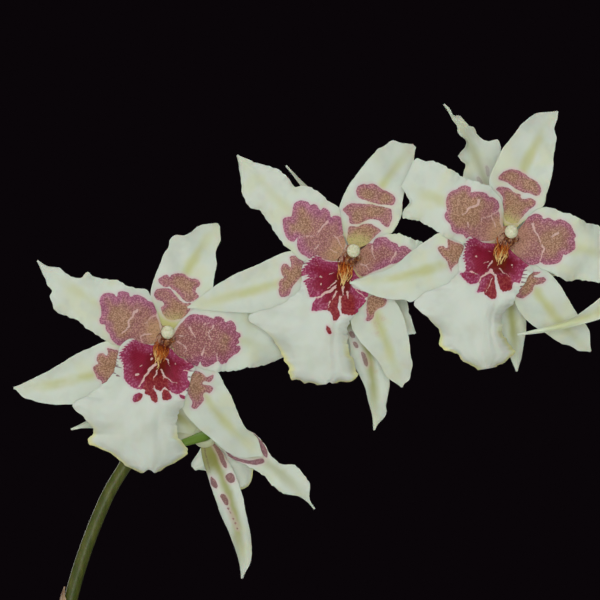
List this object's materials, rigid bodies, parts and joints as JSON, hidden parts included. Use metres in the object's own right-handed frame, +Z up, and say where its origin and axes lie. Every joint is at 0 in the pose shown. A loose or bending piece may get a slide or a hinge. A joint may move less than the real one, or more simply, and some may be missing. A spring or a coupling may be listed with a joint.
{
  "type": "potted orchid",
  "caption": "Orchid in a clay pot: strap leaves on pseudobulbs and one arching spike of white star-shaped blooms with brown patches and a crimson lip.",
  "frame": {"origin": "centre of the underside of the pot's base", "axes": "+Z up; the flower spike arches towards +X; the front row of blooms faces -Y"},
  "size_m": [0.545, 0.394, 0.6572],
  "materials": {
    "petal": "satin living petal, greenish white with tan-brown to mauve reticulate patches",
    "lip": "satin living lip, white pleated skirt with a crimson zone round the crest",
    "column": "waxy cream-yellow column with purple-brown wings",
    "stem": "smooth olive-green stem",
    "bud": "satin pale green bud",
    "pseudobulb": "smooth ribbed green pseudobulb",
    "leaf": "satin mid-green leaf",
    "bark": "rough fir bark chips",
    "terracotta": "matte unglazed clay"
  },
  "bodies": {
    "root": {"bloom_front_1_tepals": "petal", "bloom_front_1_lip": "lip", "bloom_front_1_column": "column", "bloom_front_2_tepals": "petal", "bloom_front_2_lip": "lip", "bloom_front_2_column": "column", "bloom_front_3_tepals": "petal", "bloom_front_3_lip": "lip", "bloom_front_3_column": "column", "bloom_front_4_tepals": "petal", "bloom_front_4_lip": "lip", "bloom_front_4_column": "column", "bloom_rear_1_tepals": "petal", "bloom_rear_1_lip": "lip", "bloom_rear_1_column": "column", "bloom_rear_2_tepals": "petal", "bloom_rear_2_lip": "lip", "bloom_rear_2_column": "column", "bloom_rear_3_tepals": "petal", "bloom_rear_3_lip": "lip", "bloom_rear_3_column": "column", "bloom_rear_4_tepals": "petal", "bloom_rear_4_lip": "lip", "bloom_rear_4_column": "column", "flower_spike": "stem", "bud_1": "bud", "bud_2": "bud", "bud_3": "bud", "pseudobulb_1": "pseudobulb", "pseudobulb_2": "pseudobulb", "pseudobulb_3": "pseudobulb", "pseudobulb_4": "pseudobulb", "leaf_1": "leaf", "leaf_2": "leaf", "leaf_3": "leaf", "leaf_4": "leaf", "leaf_5": "leaf", "leaf_6": "leaf", "leaf_7": "leaf", "leaf_8": "leaf", "leaf_9": "leaf", "pot": "terracotta", "bark": "bark"}
  },
  "joints": []
}
